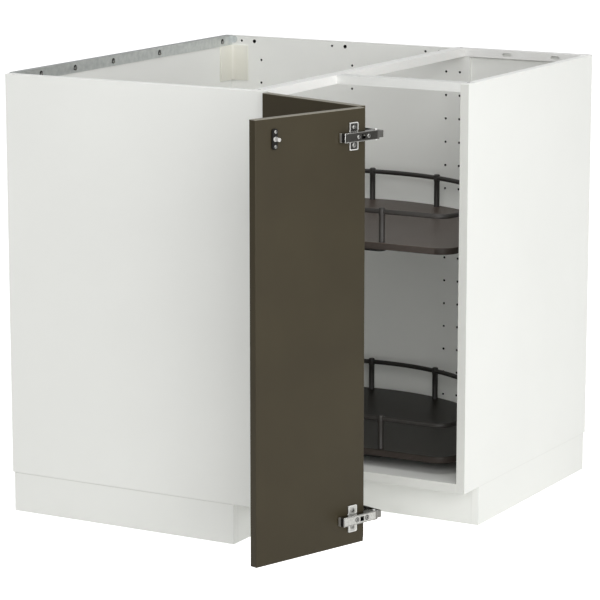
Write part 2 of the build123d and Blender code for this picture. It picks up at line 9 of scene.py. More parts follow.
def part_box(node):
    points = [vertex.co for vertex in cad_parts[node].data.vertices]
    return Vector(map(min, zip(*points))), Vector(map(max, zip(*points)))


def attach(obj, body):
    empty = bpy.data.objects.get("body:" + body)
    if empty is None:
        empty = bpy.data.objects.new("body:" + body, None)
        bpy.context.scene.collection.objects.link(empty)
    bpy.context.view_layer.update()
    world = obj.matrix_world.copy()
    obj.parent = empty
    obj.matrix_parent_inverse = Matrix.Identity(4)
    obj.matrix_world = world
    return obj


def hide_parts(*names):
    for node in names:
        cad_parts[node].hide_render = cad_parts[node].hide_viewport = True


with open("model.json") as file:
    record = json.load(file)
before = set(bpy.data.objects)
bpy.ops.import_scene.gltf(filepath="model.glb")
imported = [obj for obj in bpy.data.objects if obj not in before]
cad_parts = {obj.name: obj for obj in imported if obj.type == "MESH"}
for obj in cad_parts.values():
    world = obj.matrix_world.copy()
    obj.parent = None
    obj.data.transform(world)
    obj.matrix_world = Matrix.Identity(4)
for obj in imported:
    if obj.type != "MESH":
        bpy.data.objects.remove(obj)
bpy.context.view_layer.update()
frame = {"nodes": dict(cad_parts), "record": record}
nodes = frame["nodes"]
body_of = {node: body for body, row in frame["record"]["behaviour"]["bodies"].items() for node in row}


# Colours and node helpers


def tone(red, green, blue):
    """A colour given as it looks on a screen, from 0 to 255, in the shader's linear values."""
    def linear(value):
        value /= 255
        return value / 12.92 if value <= 0.04045 else ((value + 0.055) / 1.055) ** 2.4
    return (linear(red), linear(green), linear(blue), 1.0)


def link(tree, source, target):
    tree.links.new(source, target)


def feed(tree, socket, value):
    """Sets a socket to a value, or links it to another node's output."""
    if isinstance(value, bpy.types.NodeSocket):
        tree.links.new(value, socket)
    else:
        socket.default_value = value


def add_noise(tree, scale, detail, vector):
    noise = tree.nodes.new("ShaderNodeTexNoise")
    feed(tree, noise.inputs["Scale"], scale)
    noise.inputs["Detail"].default_value = detail
    noise.inputs["Roughness"].default_value = 0.5
    link(tree, vector, noise.inputs["Vector"])
    return noise.outputs["Fac"]


def add_maths(tree, operation, first, second=0.0):
    node = tree.nodes.new("ShaderNodeMath")
    node.operation = operation
    feed(tree, node.inputs[0], first)
    feed(tree, node.inputs[1], second)
    return node.outputs[0]


def add_vector_maths(tree, operation, first, second=(0.0, 0.0, 0.0)):
    node = tree.nodes.new("ShaderNodeVectorMath")
    node.operation = operation
    feed(tree, node.inputs[0], first)
    feed(tree, node.inputs[1], second)
    return node.outputs[0]


def add_mix(tree, factor, first, second):
    """Mixes two colours."""
    node = tree.nodes.new("ShaderNodeMix")
    node.data_type = "RGBA"
    feed(tree, node.inputs[0], factor)
    feed(tree, node.inputs[6], first)
    feed(tree, node.inputs[7], second)
    return node.outputs[2]


def add_range(tree, value, low, high, to_low, to_high):
    node = tree.nodes.new("ShaderNodeMapRange")
    for socket, setting in zip(node.inputs, (value, low, high, to_low, to_high)):
        feed(tree, socket, setting)
    return node.outputs[0]


def add_bump(tree, height, strength, distance):
    bump = tree.nodes.new("ShaderNodeBump")
    feed(tree, bump.inputs["Height"], height)
    feed(tree, bump.inputs["Strength"], strength)
    feed(tree, bump.inputs["Distance"], distance)
    return bump.outputs["Normal"]


def object_place(tree):
    return tree.nodes.new("ShaderNodeTexCoord").outputs["Object"]


def split(tree, vector):
    parts = tree.nodes.new("ShaderNodeSeparateXYZ")
    link(tree, vector, parts.inputs[0])
    return parts.outputs


def depth_in_box(tree, low, high):
    """How far a point lies inside a box along each axis; below zero it is outside."""
    place = object_place(tree)
    above = add_vector_maths(tree, "SUBTRACT", place, low)
    below = add_vector_maths(tree, "SUBTRACT", high, place)
    return add_vector_maths(tree, "MINIMUM", above, below)


def new_group(name, inputs, outputs):
    """A shader node group with named sockets; inputs maps a name to its kind and default."""
    group = bpy.data.node_groups.new(name, "ShaderNodeTree")
    for label, (kind, default) in inputs.items():
        socket = group.interface.new_socket(label, in_out="INPUT", socket_type=kind)
        socket.default_value = default
    for label, kind in outputs.items():
        group.interface.new_socket(label, in_out="OUTPUT", socket_type=kind)
    start = group.nodes.new("NodeGroupInput").outputs
    end = group.nodes.new("NodeGroupOutput").inputs
    return group, start, end


FLOAT = "NodeSocketFloat"
COLOUR = "NodeSocketColor"
VECTOR = "NodeSocketVector"


def make_foil_group():
    """Pressed foil on board: a fine pearl grain, with clouds of slightly changed tone."""
    group, start, end = new_group(
        "pressed_foil",
        {"Colour": (COLOUR, (0.8, 0.8, 0.8, 1)), "Cloud Colour": (COLOUR, (0.7, 0.7, 0.7, 1)),
         "Cloud Size": (FLOAT, 0.2), "Pearl Size": (FLOAT, 0.0006), "Pearl Depth": (FLOAT, 0.00002),
         "Sheen Low": (FLOAT, 0.4), "Sheen High": (FLOAT, 0.5)},
        {"Colour": COLOUR, "Roughness": FLOAT, "Normal": VECTOR},
    )
    place = object_place(group)
    cloud = add_noise(group, add_maths(group, "DIVIDE", 1.0, start["Cloud Size"]), 4.0, place)
    cloud = add_range(group, cloud, 0.35, 0.65, 0.0, 1.0)
    pearl = add_noise(group, add_maths(group, "DIVIDE", 1.0, start["Pearl Size"]), 2.0, place)
    link(group, add_mix(group, cloud, start["Colour"], start["Cloud Colour"]), end["Colour"])
    link(group, add_range(group, pearl, 0.3, 0.7, start["Sheen Low"], start["Sheen High"]), end["Roughness"])
    link(group, add_bump(group, pearl, 1.0, start["Pearl Depth"]), end["Normal"])
    return group


def make_border_group():
    """A mask that is 1 within a width of the outer edges of the box between two corners."""
    group, start, end = new_group(
        "border",
        {"Low": (VECTOR, (0, 0, 0)), "High": (VECTOR, (1, 1, 1)), "Width": (FLOAT, 0.001)},
        {"Mask": FLOAT},
    )
    near = add_vector_maths(group, "ABSOLUTE", depth_in_box(group, start["Low"], start["High"]))
    x, y, z = split(group, near)
    pairs = [add_maths(group, "MAXIMUM", a, b) for a, b in ((x, y), (y, z), (z, x))]
    second = add_maths(group, "MINIMUM", add_maths(group, "MINIMUM", pairs[0], pairs[1]), pairs[2])
    half = add_maths(group, "MULTIPLY", start["Width"], 0.5)
    link(group, add_range(group, second, half, start["Width"], 1.0, 0.0), end["Mask"])
    return group


def make_inside_group():
    """A mask that is 1 inside a box, for bands of colour such as the painted shade inside bored holes."""
    group, start, end = new_group(
        "inside_box", {"Low": (VECTOR, (0, 0, 0)), "High": (VECTOR, (1, 1, 1))}, {"Mask": FLOAT},
    )
    x, y, z = split(group, depth_in_box(group, start["Low"], start["High"]))
    least = add_maths(group, "MINIMUM", add_maths(group, "MINIMUM", x, y), z)
    link(group, add_maths(group, "GREATER_THAN", least, 0.0), end["Mask"])
    return group


def make_metal_group():
    """Sheet or drawn metal: short streaks along one axis, with a mottle of tone."""
    group, start, end = new_group(
        "drawn_metal",
        {"Colour": (COLOUR, (0.6, 0.6, 0.6, 1)), "Dark Colour": (COLOUR, (0.4, 0.4, 0.4, 1)),
         "Streak Scale": (VECTOR, (2000, 2000, 60)), "Mottle Size": (FLOAT, 0.01), "Depth": (FLOAT, 0.00001),
         "Smooth": (FLOAT, 0.2), "Rough": (FLOAT, 0.4)},
        {"Colour": COLOUR, "Roughness": FLOAT, "Normal": VECTOR},
    )
    place = object_place(group)
    streak = add_noise(group, 1.0, 3.0, add_vector_maths(group, "MULTIPLY", place, start["Streak Scale"]))
    mottle = add_noise(group, add_maths(group, "DIVIDE", 1.0, start["Mottle Size"]), 3.0, place)
    mottle = add_range(group, mottle, 0.35, 0.7, 0.0, 1.0)
    link(group, add_mix(group, mottle, start["Colour"], start["Dark Colour"]), end["Colour"])
    link(group, add_range(group, streak, 0.3, 0.7, start["Smooth"], start["Rough"]), end["Roughness"])
    link(group, add_bump(group, streak, 1.0, start["Depth"]), end["Normal"])
    return group


def make_grain_group():
    """Powder coat or moulded plastic: fine dimples and a little change of tone."""
    group, start, end = new_group(
        "fine_dimples",
        {"Colour": (COLOUR, (0.1, 0.1, 0.1, 1)), "Light Colour": (COLOUR, (0.15, 0.15, 0.15, 1)),
         "Dimple Size": (FLOAT, 0.001), "Depth": (FLOAT, 0.00005),
         "Smooth": (FLOAT, 0.35), "Rough": (FLOAT, 0.55)},
        {"Colour": COLOUR, "Roughness": FLOAT, "Normal": VECTOR},
    )
    place = object_place(group)
    dimple = add_noise(group, add_maths(group, "DIVIDE", 1.0, start["Dimple Size"]), 2.0, place)
    cloud = add_range(group, add_noise(group, 14.0, 3.0, place), 0.35, 0.7, 0.0, 1.0)
    link(group, add_mix(group, cloud, start["Colour"], start["Light Colour"]), end["Colour"])
    link(group, add_range(group, dimple, 0.3, 0.7, start["Smooth"], start["Rough"]), end["Roughness"])
    link(group, add_bump(group, dimple, 1.0, start["Depth"]), end["Normal"])
    return group


foil_group = make_foil_group()
border_group = make_border_group()
inside_group = make_inside_group()
metal_group = make_metal_group()
grain_group = make_grain_group()


def place_group(tree, group, **settings):
    node = tree.nodes.new("ShaderNodeGroup")
    node.node_tree = group
    for label, value in settings.items():
        feed(tree, node.inputs[label.replace("_", " ")], value)
    return node.outputs


def new_material(name, metallic=0.0, specular=0.5):
    """A material with its shader, ready for a group's outputs."""
    material = bpy.data.materials.new(name)
    material.use_nodes = True
    shader = material.node_tree.nodes["Principled BSDF"]
    shader.inputs["Metallic"].default_value = metallic
    shader.inputs["Specular IOR Level"].default_value = specular
    return material, material.node_tree, shader


def finish_with(tree, shader, outputs, colour=None):
    feed(tree, shader.inputs["Base Color"], colour or outputs["Colour"])
    link(tree, outputs["Roughness"], shader.inputs["Roughness"])
    link(tree, outputs["Normal"], shader.inputs["Normal"])


# Materials


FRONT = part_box("left_end_panel")[1][0]
NEAR_FRONT, PAST_FRONT = FRONT - 0.0004, FRONT + 0.0004
TOP_EDGE_DEPTH = 0.0007
TRAY_FACE_DEPTH = 0.0008
FAR = 1.0
FRONT_EDGES = (
    ((NEAR_FRONT, -FAR, -FAR), (PAST_FRONT, -NEAR_FRONT, FAR)),
    ((NEAR_FRONT, -PAST_FRONT, -FAR), (FAR, -NEAR_FRONT, FAR)),
)
# Painted shade: the walls inside the back panel's bored holes are near black, for the shade deep in them.
HOLE_SHADE = tone(6, 5, 4)
HOLE_SHADE_INSET = 0.001
HOLE_SHADE_BEHIND_FACE = 0.00003
back_low, back_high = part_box("back_panel")
hole_shaded_panels = {
    "back_panel": (
        (back_low[0] + HOLE_SHADE_INSET, back_low[1] + HOLE_SHADE_BEHIND_FACE, back_low[2] + HOLE_SHADE_INSET),
        tuple(value - HOLE_SHADE_INSET for value in back_high),
    ),
}
WHITE = tone(244, 245, 241)
WHITE_CLOUD = tone(242, 243, 239)
WHITE_EDGE = tone(235, 236, 232)
# Painted shade: the front edges of the end and bottom panels are darker, for the shade that falls on them.
WHITE_FRONT_SHADE = tone(222, 223, 218)
# Painted highlight: the top edges of the end panels are lighter, for the light from above.
WHITE_TOP_HIGHLIGHT = tone(251, 252, 249)
PANELS_WITH_FRONT_SHADE = ("left_end_panel", "right_end_panel", "bottom_panel")
BORDER_WIDTH = 0.0012


def board_material(name, node, face, cloud, edge, front_shade, top, specular=0.5, **foil):
    """Foil on board: a line along its borders, painted shade on its front edges, a painted highlight on its
    top edges, and painted shade inside its holes.
    """
    material, tree, shader = new_material(name, specular=specular)
    low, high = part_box(node)
    look = place_group(tree, foil_group, Colour=face, Cloud_Colour=cloud, **foil)
    border = place_group(tree, border_group, Low=low, High=high, Width=BORDER_WIDTH)["Mask"]
    colour = add_mix(tree, border, look["Colour"], edge)
    # Painted bands: shade on the front edges, a highlight on the top edges, and shade inside bored holes.
    for box_low, box_high, shade in (
        *((*box, front_shade) for box in FRONT_EDGES),
        ((-FAR, -FAR, high[2] - TOP_EDGE_DEPTH), (FAR, FAR, FAR), top),
        (*hole_shaded_panels.get(node, (None, None)), HOLE_SHADE),
    ):
        if box_low and shade:
            mask = place_group(tree, inside_group, Low=box_low, High=box_high)["Mask"]
            colour = add_mix(tree, mask, colour, shade)
    finish_with(tree, shader, look, colour)
    return material


def white_board(node):
    return board_material(
        "white_board_" + node, node, WHITE, WHITE_CLOUD, WHITE_EDGE,
        WHITE_FRONT_SHADE if node in PANELS_WITH_FRONT_SHADE else None, WHITE_TOP_HIGHLIGHT if node.endswith("end_panel") else None,
        Cloud_Size=0.25, Pearl_Size=0.0008, Pearl_Depth=0.00002, Sheen_Low=0.42, Sheen_High=0.55,
    )


def dark_door(node):
    return board_material(
        "dark_door_" + node, node, tone(62, 56, 41), tone(59, 53, 39), tone(70, 64, 49), None,
        # The next colour is a painted highlight along the door's top edge.
        tone(142, 138, 126), specular=0.2,
        Cloud_Size=0.12, Pearl_Size=0.0007, Pearl_Depth=0.00002, Sheen_Low=0.38, Sheen_High=0.5,
    )


def grain_material(
    name, colour, light, dimple=0.0012, depth=0.00004, smooth=0.35, rough=0.55, **shader_settings,
):
    """Moulded plastic, hardboard or powder coat."""
    material, tree, shader = new_material(name, **shader_settings)
    look = place_group(
        tree, grain_group, Colour=colour, Light_Colour=light, Dimple_Size=dimple, Depth=depth,
        Smooth=smooth, Rough=rough,
    )
    finish_with(tree, shader, look)
    return material


def tray_material(level, top, top_light, side):
    """A tray's painted plate, whose upper face and edge differ a little."""
    material, tree, shader = new_material("dark_tray_" + level, specular=0.15)
    plate_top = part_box(level + "_tray_plate")[1][2]
    look = place_group(
        tree, grain_group, Colour=top, Light_Colour=top_light, Dimple_Size=0.001, Depth=0.00006, Smooth=0.3,
        Rough=0.45,
    )
    below_face = {"Low": (-FAR, -FAR, 0), "High": (FAR, FAR, plate_top - TRAY_FACE_DEPTH)}
    edge = place_group(tree, inside_group, **below_face)["Mask"]
    finish_with(tree, shader, look, add_mix(tree, edge, look["Colour"], side))
    return material


def metal_material(
    name, colour, dark, streaks, mottle=0.01, depth=0.00001, smooth=0.15, rough=0.3, line=None,
):
    """Plated or drawn metal; line is the colour of a painted highlight on its rounded edges, where it is
    given.
    """
    material, tree, shader = new_material(name, metallic=1.0)
    look = place_group(
        tree, metal_group, Colour=colour, Dark_Colour=dark, Streak_Scale=streaks, Mottle_Size=mottle,
        Depth=depth, Smooth=smooth, Rough=rough,
    )
    colour = look["Colour"]
    # Painted highlight on the rounded edges that ease_edges marks.
    if line:
        edge = tree.nodes.new("ShaderNodeAttribute")
        edge.attribute_name = "edge_line"
        colour = add_mix(tree, edge.outputs["Fac"], colour, line)
    finish_with(tree, shader, look, colour)
    return material


POWDER_COAT = {"dimple": 0.0009, "depth": 0.00004, "smooth": 0.25, "rough": 0.4}
FINE_PLATING = {"streaks": (900, 900, 900), "mottle": 0.02, "depth": 0.000004}
grained = {
    "white_hardboard": dict(
        colour=tone(246, 247, 243), light=tone(242, 243, 239), dimple=0.0015, depth=0.00003,
    ),
    "beige_plastic": dict(colour=tone(237, 236, 226), light=tone(232, 231, 220), dimple=0.001),
    # Painted light: lit and shaded copies of white steel, lighter for the cross rail and darker for the front
    # rail.
    "white_steel_light": dict(colour=tone(250, 250, 247), light=tone(248, 248, 245), **POWDER_COAT),
    "white_steel_dull": dict(colour=tone(235, 236, 233), light=tone(232, 233, 230), **POWDER_COAT),
    "white_steel": dict(colour=tone(243, 243, 241), light=tone(239, 239, 236), **POWDER_COAT),
    "black_plastic": dict(
        colour=tone(26, 25, 23), light=tone(32, 31, 29), dimple=0.001, depth=0.00005, smooth=0.4, rough=0.6,
        specular=0.2,
    ),
    "grey_plastic": dict(colour=tone(196, 195, 192), light=tone(184, 183, 180), dimple=0.001, depth=0.00003),
    "dark_steel": dict(
        colour=tone(38, 35, 32), light=tone(43, 40, 37), dimple=0.0008, depth=0.00005, smooth=0.4, rough=0.55,
    ),
}
plated = {
    "zinc_steel": dict(
        colour=tone(223, 226, 225), dark=tone(206, 210, 210), streaks=(60, 900, 900), mottle=0.012,
        smooth=0.3, rough=0.45,
    ),
    "screw_steel": dict(
        colour=tone(178, 178, 175), dark=tone(150, 150, 147), streaks=(800, 800, 800), mottle=0.004,
    ),
    # Each line colour is a painted highlight on the rounded edges.
    "nickel_steel": dict(
        colour=tone(150, 149, 145), dark=tone(134, 133, 129), line=tone(240, 240, 237),
        smooth=0.08, rough=0.18, **FINE_PLATING,
    ),
    # Painted reflection: copies of one nickel, darker for the upper fold hinge's cover and lighter for the
    # lower's, for what each reflects.
    "dark_nickel": dict(
        colour=tone(92, 91, 88), dark=tone(82, 81, 78), line=tone(150, 149, 146),
        smooth=0.2, rough=0.3, **FINE_PLATING,
    ),
    "light_nickel": dict(
        colour=tone(226, 226, 222), dark=tone(200, 200, 195), line=tone(245, 245, 243),
        streaks=(700, 700, 700), mottle=0.004, depth=0.000006, smooth=0.3, rough=0.45,
    ),
    "bright_steel": dict(
        colour=tone(250, 250, 248), dark=tone(244, 244, 241), smooth=0.4, rough=0.5, **FINE_PLATING,
    ),
}
finishes = {name: grain_material(name, **row) for name, row in grained.items()}
finishes.update({name: metal_material(name, **row) for name, row in plated.items()})
# Both plates are one finish: the lower one's top is painted darker, as painted shade from the upper tray
# above it.
finishes["upper_tray"] = tray_material("upper", tone(72, 63, 57), tone(75, 66, 60), tone(56, 50, 46))
finishes["lower_tray"] = tray_material("lower", tone(38, 35, 30), tone(41, 38, 33), tone(56, 50, 46))
own_finish = {
    "cross_rail": "white_steel_light", "front_rail": "white_steel_dull", "upper_tray_plate": "upper_tray",
    "lower_tray_plate": "lower_tray",
}
for row in frame["record"]["subparts"]:
    name = row["node"]
    slot = own_finish.get(name, row["material_slot"])
    if slot == "white_melamine":
        look = white_board(name)
    elif slot == "dark_door":
        look = dark_door(name)
    else:
        look = finishes[slot]
    nodes[name].data.materials.clear()
    nodes[name].data.materials.append(look)


# Pieces in mesh, standing for the CAD ones


def add_piece(name, mesh, material, body, *replaced):
    """Puts a finished mesh in the scene, on its body, in place of the CAD pieces that it stands for."""
    mesh.name = name
    mesh.materials.clear()
    mesh.materials.append(material)
    piece = bpy.data.objects.new(name, mesh)
    bpy.context.scene.collection.objects.link(piece)
    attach(piece, body)
    if replaced:
        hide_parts(*replaced)
    return piece


FLAT_TURN = radians(1.0)
SHARP_TURN = radians(28.0)


def ease_edges(node, width):
    """A copy of one CAD piece with its sharp edges rounded over."""
    shell = bmesh.new()
    shell.from_mesh(nodes[node].data)
    line = shell.faces.layers.float.new("edge_line")
    bmesh.ops.remove_doubles(shell, verts=shell.verts, dist=1e-6)
    bmesh.ops.dissolve_limit(shell, angle_limit=FLAT_TURN, verts=shell.verts, edges=shell.edges)
    turn = {edge: edge.calc_face_angle(0.0) for edge in shell.edges if len(edge.link_faces) == 2}
    for face in shell.faces:
        face.smooth = any(FLAT_TURN < turn.get(edge, 0.0) < SHARP_TURN for edge in face.edges)
    sharp = [edge for edge, angle in turn.items() if angle >= SHARP_TURN]
    made = bmesh.ops.bevel(
        shell, geom=sharp, offset=width, offset_type="OFFSET", segments=2, profile=0.5,
        affect="EDGES", clamp_overlap=False,
    )
    # The rounded faces are marked for a metal's painted highlight.
    for face in made["faces"]:
        face.smooth = True
        face[line] = 1.0
    mesh = bpy.data.meshes.new(node)
    shell.to_mesh(mesh)
    shell.free()
    return add_piece(node + "_eased", mesh, nodes[node].data.materials[0], body_of[node], node)


eased_widths = {
    "left_end_panel": 0.0005, "right_end_panel": 0.0005, "left_back_panel": 0.0004,
    "back_infill_panel": 0.0003, "bottom_panel": 0.0004, "corner_bracket": 0.0006, "cross_rail": 0.0004,
    "front_rail": 0.0004, "back_rail": 0.0004, "plinth_left_side": 0.0006, "plinth_left_front": 0.0006,
    "plinth_right_front": 0.0006, "plinth_right_side": 0.0006, "door_a_panel": 0.0005,
    "door_b_panel": 0.0005, "upper_tray_plate": 0.0011, "lower_tray_plate": 0.0011,
    "upper_tray_spider": 0.0012, "lower_tray_spider": 0.0012, "pole_flange": 0.0006,
    "upper_collar": 0.0008, "catch_base": 0.0008, "fold_hinge_plate_upper": 0.0005,
    "fold_hinge_plate_lower": 0.0005, "fold_hinge_arm_upper": 0.0005, "fold_hinge_arm_lower": 0.0005,
    "fold_hinge_cup_upper": 0.0003, "fold_hinge_cup_lower": 0.0003, "door_hinge_plate_upper": 0.0005,
    "door_hinge_plate_lower": 0.0005, "door_hinge_arm_upper": 0.0005, "door_hinge_arm_lower": 0.0005,
}
leg_places = {
    node[len("leg_body_"):]: tuple((low + high) / 2 for low, high in zip(*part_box(node)))[:2]
    for node in nodes if node.startswith("leg_body_")
}
LEG_EASING = 0.001
for spot in leg_places:
    eased_widths["leg_body_" + spot] = LEG_EASING
    eased_widths["leg_foot_" + spot] = LEG_EASING
for node, width in eased_widths.items():
    ease_edges(node, width)


# Geometry trees for what is repeated


MATERIAL = "NodeSocketMaterial"


def new_geometry_tree(name, inputs):
    """A geometry node tree with named inputs; inputs maps a name to its kind and default."""
    tree = bpy.data.node_groups.new(name, "GeometryNodeTree")
    tree.interface.new_socket("Geometry", in_out="INPUT", socket_type="NodeSocketGeometry")
    for label, (kind, default) in inputs.items():
        socket = tree.interface.new_socket(label, in_out="INPUT", socket_type=kind)
        if default is not None:
            socket.default_value = default
    tree.interface.new_socket("Geometry", in_out="OUTPUT", socket_type="NodeSocketGeometry")
    start = tree.nodes.new("NodeGroupInput").outputs
    end = tree.nodes.new("NodeGroupOutput").inputs
    return tree, start, end


def add_node(tree, kind, settings=(), **sockets):
    node = tree.nodes.new(kind)
    for key, value in dict(settings).items():
        setattr(node, key, value)
    for label, value in sockets.items():
        feed(tree, node.inputs[label.replace("_", " ")], value)
    return node


def add_attribute(tree, name):
    node = add_node(tree, "GeometryNodeInputNamedAttribute", {"data_type": "FLOAT_VECTOR"}, Name=name)
    return node.outputs[0]


def add_vector(tree, x=0.0, y=0.0, z=0.0):
    return add_node(tree, "ShaderNodeCombineXYZ", X=x, Y=y, Z=z).outputs[0]


def finish_tree(tree, start, end, instances):
    """Makes the copies real and gives them their material."""
    real = add_node(tree, "GeometryNodeRealizeInstances", Geometry=instances).outputs[0]
    finished = add_node(tree, "GeometryNodeSetMaterial", Geometry=real, Material=start["Material"])
    link(tree, finished.outputs[0], end["Geometry"])


def make_screw_tree():
    """Domed heads with a cross recess, one on each point, each turned a little differently.

    The head is drawn one unit in radius and in height, and each point's size scales it."""
    tree, start, end = new_geometry_tree(
        "screw_heads",
        {"Dome": (FLOAT, 0.3), "Recess Length": (FLOAT, 1.15), "Recess Width": (FLOAT, 0.26),
         "Recess Depth": (FLOAT, 1.1), "Seed": ("NodeSocketInt", 7), "Material": (MATERIAL, None)},
    )
    head = add_node(
        tree, "GeometryNodeMeshCylinder", {"fill_type": "TRIANGLE_FAN"}, Vertices=24, Side_Segments=3,
        Fill_Segments=3, Radius=1.0, Depth=1.0,
    ).outputs["Mesh"]
    place = add_node(tree, "GeometryNodeInputPosition").outputs[0]
    parts = add_node(tree, "ShaderNodeSeparateXYZ", Vector=place).outputs
    squares = [add_maths(tree, "POWER", part, 2.0) for part in (parts[0], parts[1])]
    reach = add_maths(tree, "ADD", *squares)
    upper = add_maths(tree, "GREATER_THAN", parts[2], 0.4)
    drop = add_maths(tree, "MULTIPLY", add_maths(tree, "MULTIPLY", reach, start["Dome"]), upper)
    lift = add_maths(tree, "SUBTRACT", 0.5, drop)
    rise = add_vector(tree, z=lift)
    head = add_node(tree, "GeometryNodeSetPosition", Geometry=head, Offset=rise).outputs[0]
    cutters = []
    for order in (("Recess Length", "Recess Width"), ("Recess Width", "Recess Length")):
        size = add_vector(tree, start[order[0]], start[order[1]], start["Recess Depth"])
        cube = add_node(tree, "GeometryNodeMeshCube", Size=size).outputs["Mesh"]
        raised = add_node(tree, "GeometryNodeTransform", Geometry=cube, Translation=(0, 0, 1))
        cutters.append(raised.outputs[0])
    cut = add_node(tree, "GeometryNodeMeshBoolean", {"operation": "DIFFERENCE"})
    link(tree, head, cut.inputs["Mesh 1"])
    for cutter in cutters:
        link(tree, cutter, cut.inputs["Mesh 2"])
    chance = add_node(tree, "FunctionNodeRandomValue", {"data_type": "FLOAT"})
    chance.inputs[3].default_value = pi / 2
    link(tree, start["Seed"], chance.inputs["Seed"])
    facing = add_node(
        tree, "FunctionNodeAlignRotationToVector", {"axis": "Z"}, Vector=add_attribute(tree, "facing"),
    ).outputs[0]
    spin = add_node(
        tree, "FunctionNodeAxisAngleToRotation", Axis=(0, 0, 1), Angle=chance.outputs[1],
    ).outputs[0]
    turn = add_node(
        tree, "FunctionNodeRotateRotation", {"rotation_space": "LOCAL"}, Rotation=facing, Rotate_By=spin,
    ).outputs[0]
    heads = add_node(
        tree, "GeometryNodeInstanceOnPoints", Points=start["Geometry"], Instance=cut.outputs[0],
        Rotation=turn, Scale=add_attribute(tree, "size"),
    ).outputs[0]
    finish_tree(tree, start, end, heads)
    return tree


def make_post_tree():
    """Copies of one post along the arc of a tray's rail, and one on each of its two straight stretches."""
    tree, start, end = new_geometry_tree(
        "tray_posts",
        {"Arc Radius": (FLOAT, 0.3695), "First Angle": (FLOAT, -0.09), "Spacing": (FLOAT, 0.445),
         "Arc Count": ("NodeSocketInt", 12), "Front Along": (FLOAT, 0.22), "Front Aside": (FLOAT, 0.0925),
         "Foot Height": (FLOAT, 0.5), "Material": (MATERIAL, None)},
    )
    index = add_node(tree, "GeometryNodeInputIndex").outputs[0]
    angle = add_maths(tree, "ADD", start["First Angle"], add_maths(tree, "MULTIPLY", index, start["Spacing"]))
    across, deep = (
        add_maths(tree, "MULTIPLY", start["Arc Radius"], add_maths(tree, wave, angle))
        for wave in ("COSINE", "SINE")
    )
    on_arc = add_vector(tree, across, deep, start["Foot Height"])
    along = start["Front Along"]
    aside = start["Front Aside"]
    first = add_vector(tree, along, add_maths(tree, "MULTIPLY", aside, -1.0), start["Foot Height"])
    second = add_vector(tree, aside, add_maths(tree, "MULTIPLY", along, -1.0), start["Foot Height"])
    past_arc = add_maths(tree, "SUBTRACT", index, start["Arc Count"])
    is_front = add_maths(tree, "GREATER_THAN", past_arc, -0.5)
    is_last = add_maths(tree, "GREATER_THAN", past_arc, 0.5)
    front = add_node(tree, "ShaderNodeMix", {"data_type": "VECTOR"})
    feed(tree, front.inputs[0], is_last)
    feed(tree, front.inputs[4], first)
    feed(tree, front.inputs[5], second)
    place = add_node(tree, "ShaderNodeMix", {"data_type": "VECTOR"})
    feed(tree, place.inputs[0], is_front)
    feed(tree, place.inputs[4], on_arc)
    feed(tree, place.inputs[5], front.outputs[1])
    count = add_maths(tree, "ADD", start["Arc Count"], 2.0)
    points = add_node(tree, "GeometryNodePoints", Count=count, Position=place.outputs[1]).outputs[0]
    copies = add_node(tree, "GeometryNodeInstanceOnPoints", Points=points, Instance=start["Geometry"])
    finish_tree(tree, start, end, copies.outputs[0])
    return tree


def make_rib_tree():
    """Thin ribs standing out all round a tube, at each point given; they taper away downwards."""
    tree, start, end = new_geometry_tree(
        "tube_ribs",
        {"Count": ("NodeSocketInt", 8), "Tube Radius": (FLOAT, 0.0185), "Reach": (FLOAT, 0.013),
         "Height": (FLOAT, 0.014), "Thickness": (FLOAT, 0.002), "Top": (FLOAT, 0.076), "Taper": (FLOAT, 1.0),
         "Material": (MATERIAL, None)},
    )
    size = add_vector(tree, start["Reach"], start["Thickness"], start["Height"])
    rib = add_node(tree, "GeometryNodeMeshCube", Size=size).outputs["Mesh"]
    parts = add_node(
        tree, "ShaderNodeSeparateXYZ", Vector=add_node(tree, "GeometryNodeInputPosition").outputs[0],
    ).outputs
    outer = add_maths(tree, "GREATER_THAN", parts[0], 0.0)
    under = add_maths(tree, "LESS_THAN", parts[2], 0.0)
    rise = add_maths(tree, "MULTIPLY", add_maths(tree, "MULTIPLY", outer, under), start["Taper"])
    rise = add_maths(tree, "MULTIPLY", rise, add_maths(tree, "MULTIPLY", start["Height"], 0.85))
    rib = add_node(tree, "GeometryNodeSetPosition", Geometry=rib, Offset=add_vector(tree, z=rise)).outputs[0]
    out = add_maths(tree, "ADD", start["Tube Radius"], add_maths(tree, "MULTIPLY", start["Reach"], 0.5))
    down = add_maths(tree, "SUBTRACT", start["Top"], add_maths(tree, "MULTIPLY", start["Height"], 0.5))
    rib = add_node(
        tree, "GeometryNodeTransform", Geometry=rib, Translation=add_vector(tree, x=out, z=down),
    ).outputs[0]
    ring = add_node(tree, "GeometryNodePoints", Count=start["Count"]).outputs[0]
    index = add_node(tree, "GeometryNodeInputIndex").outputs[0]
    angle = add_maths(tree, "DIVIDE", add_maths(tree, "MULTIPLY", index, 2 * pi), start["Count"])
    spin = add_node(tree, "FunctionNodeAxisAngleToRotation", Axis=(0, 0, 1), Angle=angle).outputs[0]
    ribs = add_node(
        tree, "GeometryNodeInstanceOnPoints", Points=ring, Instance=rib, Rotation=spin,
    ).outputs[0]
    ribs = add_node(tree, "GeometryNodeRealizeInstances", Geometry=ribs).outputs[0]
    sets = add_node(
        tree, "GeometryNodeInstanceOnPoints", Points=start["Geometry"], Instance=ribs,
    ).outputs[0]
    finish_tree(tree, start, end, sets)
    return tree


